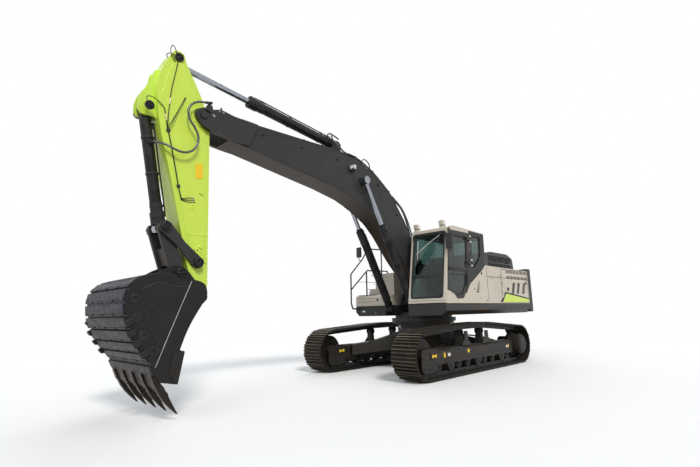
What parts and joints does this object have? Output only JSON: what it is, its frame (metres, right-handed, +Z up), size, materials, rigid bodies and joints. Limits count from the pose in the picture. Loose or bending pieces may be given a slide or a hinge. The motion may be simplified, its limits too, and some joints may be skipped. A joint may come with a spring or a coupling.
{
  "type": "crawler excavator",
  "caption": "Crawler excavator with a hollow cab, slewing house, boom, stick and bucket on hydraulic cylinders, standing on steel tracks.",
  "frame": {"origin": "bottom centre of the parked machine's bounding box, at ground level; the swing axis stands 1.822 m behind it", "axes": "the machine faces -Y, +X is its left (cab) side, +Z up"},
  "size_m": [3.225, 10.8446, 5.4915],
  "materials": {
    "charcoal_paint": "satin charcoal paint",
    "beige_paint": "satin warm grey-beige paint",
    "lime_paint": "satin lime green paint",
    "worn_steel": "dark worn steel",
    "chrome_rod": "hard chrome, polished",
    "glass": "tinted safety glass",
    "hose_rubber": "matt black hose cover",
    "black_trim": "black plastic",
    "interior_plastic": "grained dark plastic",
    "seat_fabric": "woven seat cloth"
  },
  "bodies": {
    "undercarriage": {"carbody": "charcoal_paint", "track_frame_left": "charcoal_paint", "track_frame_right": "charcoal_paint", "track_left": "worn_steel", "track_right": "worn_steel", "idler_left": "worn_steel", "idler_right": "worn_steel", "sprocket_left": "charcoal_paint", "sprocket_right": "charcoal_paint"},
    "house": {"slew_ring": "charcoal_paint", "main_frame": "charcoal_paint", "counterweight": "charcoal_paint", "cab_shell": "beige_paint", "windshield": "glass", "quarter_window": "glass", "right_window": "glass", "rear_window": "glass", "operator_station": "interior_plastic", "seat_cushion": "seat_fabric", "seat_back": "seat_fabric", "left_body": "beige_paint", "cab_side_panel": "beige_paint", "right_body": "beige_paint", "engine_bay": "charcoal_paint", "engine_block": "worn_steel", "fuel_tank": "beige_paint", "tool_box": "beige_paint", "handrail": "charcoal_paint", "mirror_left": "black_trim"},
    "cab_door": {"cab_door": "charcoal_paint", "door_glass": "glass"},
    "left_service_door": {"left_service_door": "beige_paint"},
    "right_service_door": {"right_service_door": "beige_paint"},
    "engine_hood": {"engine_hood": "charcoal_paint"},
    "boom": {"boom": "charcoal_paint"},
    "stick": {"stick": "lime_paint", "stick_hose": "hose_rubber"},
    "bucket": {"bucket": "worn_steel", "bucket_lip": "worn_steel"},
    "rocker": {"rocker": "charcoal_paint"},
    "h_link": {"h_link": "charcoal_paint"},
    "boom_cylinder_left_barrel": {"boom_cylinder_left_barrel": "charcoal_paint"},
    "boom_cylinder_left_rod": {"boom_cylinder_left_rod": "chrome_rod"},
    "boom_cylinder_right_barrel": {"boom_cylinder_right_barrel": "charcoal_paint"},
    "boom_cylinder_right_rod": {"boom_cylinder_right_rod": "chrome_rod"},
    "stick_cylinder_barrel": {"stick_cylinder_barrel": "charcoal_paint"},
    "stick_cylinder_rod": {"stick_cylinder_rod": "chrome_rod"},
    "bucket_cylinder_barrel": {"bucket_cylinder_barrel": "charcoal_paint"},
    "bucket_cylinder_rod": {"bucket_cylinder_rod": "chrome_rod"}
  },
  "joints": [
    {"name": "swing", "type": "hinge", "parent": "undercarriage", "child": "house", "pos_m": [0, 1.82234, 1.15], "axis": [0, 0, 1], "continuous": true},
    {"name": "boom", "type": "hinge", "parent": "house", "child": "boom", "pos_m": [0, 1.67234, 1.95], "axis": [-1, 0, 0], "range_deg": [-68, 42]},
    {"name": "stick", "type": "hinge", "parent": "boom", "child": "stick", "pos_m": [0, -4.31703, 4.50098], "axis": [1, 0, 0], "range_deg": [-84, 32], "deforming": ["stick_hose"]},
    {"name": "bucket", "type": "hinge", "parent": "stick", "child": "bucket", "pos_m": [0, -4.20816, 1.60102], "axis": [1, 0, 0], "range_deg": [0, 155]},
    {"name": "rocker", "type": "hinge", "parent": "stick", "child": "rocker", "pos_m": [0, -4.26168, 2.12038], "axis": [1, 0, 0], "range_deg": [-2, 103.53]},
    {"name": "h_link", "type": "hinge", "parent": "rocker", "child": "h_link", "pos_m": [0, -4.7798, 2.62029], "axis": [1, 0, 0], "range_deg": [-73.3, 2]},
    {"name": "boom_cylinder_left_tilt", "type": "hinge", "parent": "house", "child": "boom_cylinder_left_barrel", "pos_m": [0.35, 0.95234, 1.4], "axis": [-1, 0, 0], "range_deg": [-73.94, 46.43]},
    {"name": "boom_cylinder_left_stroke", "type": "slide", "parent": "boom_cylinder_left_barrel", "child": "boom_cylinder_left_rod", "axis": [0, -0.4908, 0.8713], "range_m": [-0.89936, 0.55702]},
    {"name": "boom_cylinder_right_tilt", "type": "hinge", "parent": "house", "child": "boom_cylinder_right_barrel", "pos_m": [-0.35, 0.95234, 1.4], "axis": [-1, 0, 0], "range_deg": [-73.94, 46.43]},
    {"name": "boom_cylinder_right_stroke", "type": "slide", "parent": "boom_cylinder_right_barrel", "child": "boom_cylinder_right_rod", "axis": [0, -0.4908, 0.8713], "range_m": [-0.89936, 0.55702]},
    {"name": "stick_cylinder_tilt", "type": "hinge", "parent": "boom", "child": "stick_cylinder_barrel", "pos_m": [0, -1.17733, 4.90063], "axis": [1, 0, 0], "range_deg": [-6.2, 3.6]},
    {"name": "stick_cylinder_stroke", "type": "slide", "parent": "stick_cylinder_barrel", "child": "stick_cylinder_rod", "axis": [0, -0.991, 0.1336], "range_m": [-1.20149, 0.46019]},
    {"name": "bucket_cylinder_tilt", "type": "hinge", "parent": "stick", "child": "bucket_cylinder_barrel", "pos_m": [0, -5.13262, 4.42133], "axis": [1, 0, 0], "range_deg": [-3.62, 2]},
    {"name": "bucket_cylinder_stroke", "type": "slide", "parent": "bucket_cylinder_barrel", "child": "bucket_cylinder_rod", "axis": [0, 0.1922, -0.9813], "range_m": [-0.004, 1.11733]},
    {"name": "cab_door", "type": "hinge", "parent": "house", "child": "cab_door", "pos_m": [1.462, 1.78034, 2.4], "axis": [0, 0, 1], "range_deg": [0, 150]},
    {"name": "left_service_door", "type": "hinge", "parent": "house", "child": "left_service_door", "pos_m": [1.458, 3.27034, 1.9], "axis": [0, 0, -1], "range_deg": [0, 90]},
    {"name": "right_service_door", "type": "hinge", "parent": "house", "child": "right_service_door", "pos_m": [-1.458, 3.27034, 1.9], "axis": [0, 0, 1], "range_deg": [0, 90]},
    {"name": "engine_hood", "type": "hinge", "parent": "house", "child": "engine_hood", "pos_m": [0, 3.52334, 2.3783], "axis": [1, 0, 0], "range_deg": [0, 55]}
  ],
  "couplings": [
    {"joint": "rocker", "follows": "bucket", "ratio": 0.655},
    {"joint": "h_link", "follows": "bucket", "ratio": -0.46},
    {"joint": "boom_cylinder_left_tilt", "follows": "boom", "ratio": 1.0579},
    {"joint": "boom_cylinder_left_stroke", "follows": "boom", "m_per_rad": 0.75441},
    {"joint": "boom_cylinder_right_tilt", "follows": "boom", "ratio": 1.0579},
    {"joint": "boom_cylinder_right_stroke", "follows": "boom", "m_per_rad": 0.75441},
    {"joint": "stick_cylinder_tilt", "follows": "stick", "ratio": 0.05},
    {"joint": "stick_cylinder_stroke", "follows": "stick", "m_per_rad": 0.8168},
    {"joint": "bucket_cylinder_tilt", "follows": "bucket", "ratio": -0.010476},
    {"joint": "bucket_cylinder_stroke", "follows": "bucket", "m_per_rad": 0.41154}
  ]
}
